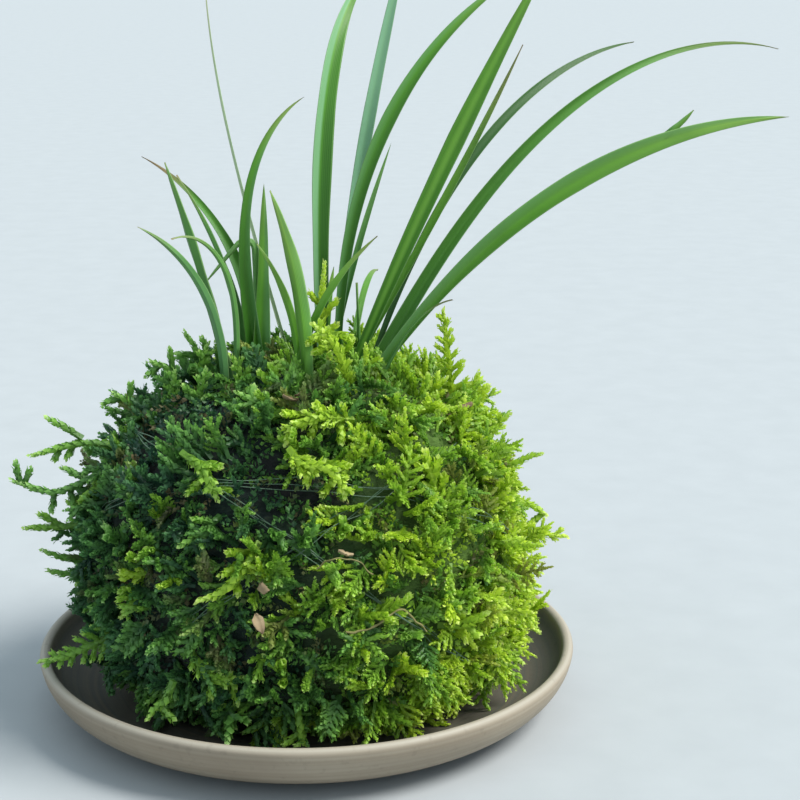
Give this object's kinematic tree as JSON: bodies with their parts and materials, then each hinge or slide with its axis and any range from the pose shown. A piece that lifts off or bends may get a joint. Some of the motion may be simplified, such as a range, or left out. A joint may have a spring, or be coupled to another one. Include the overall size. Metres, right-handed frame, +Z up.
{
  "type": "kokedama moss ball plant",
  "caption": "Ball of soil wrapped in shaggy moss and bound with thread, tufts of long grass leaves rooted in its top, standing in a shallow matte stoneware saucer.",
  "frame": {"origin": "centre of the saucer's foot, on the surface that the saucer stands on", "axes": "+Z up, out of the moss ball's top; +X towards the side that the long leaves lean to; -Y is the front"},
  "size_m": [0.2182, 0.15, 0.2145],
  "materials": {
    "stoneware": "matte unglazed stoneware, taupe outside and dark grey-brown inside",
    "soil": "damp dark loam",
    "moss_bright": "shaggy yellow-green moss with pale tips",
    "moss_dark": "shaggy dark green moss with near-black gaps",
    "thread": "fine pale green nylon thread",
    "grass": "satin grass leaf, darker towards its foot"
  },
  "bodies": {
    "root": {"saucer": "stoneware", "soil_ball": "soil", "moss_sheet_right": "moss_bright", "moss_sheet_back": "moss_bright", "moss_sheet_left": "moss_dark", "binding_thread": "thread", "grass_tuft_far_left": "grass", "grass_tuft_left": "grass", "grass_tuft_front": "grass", "grass_tuft_centre": "grass", "grass_tuft_right": "grass"}
  },
  "joints": []
}
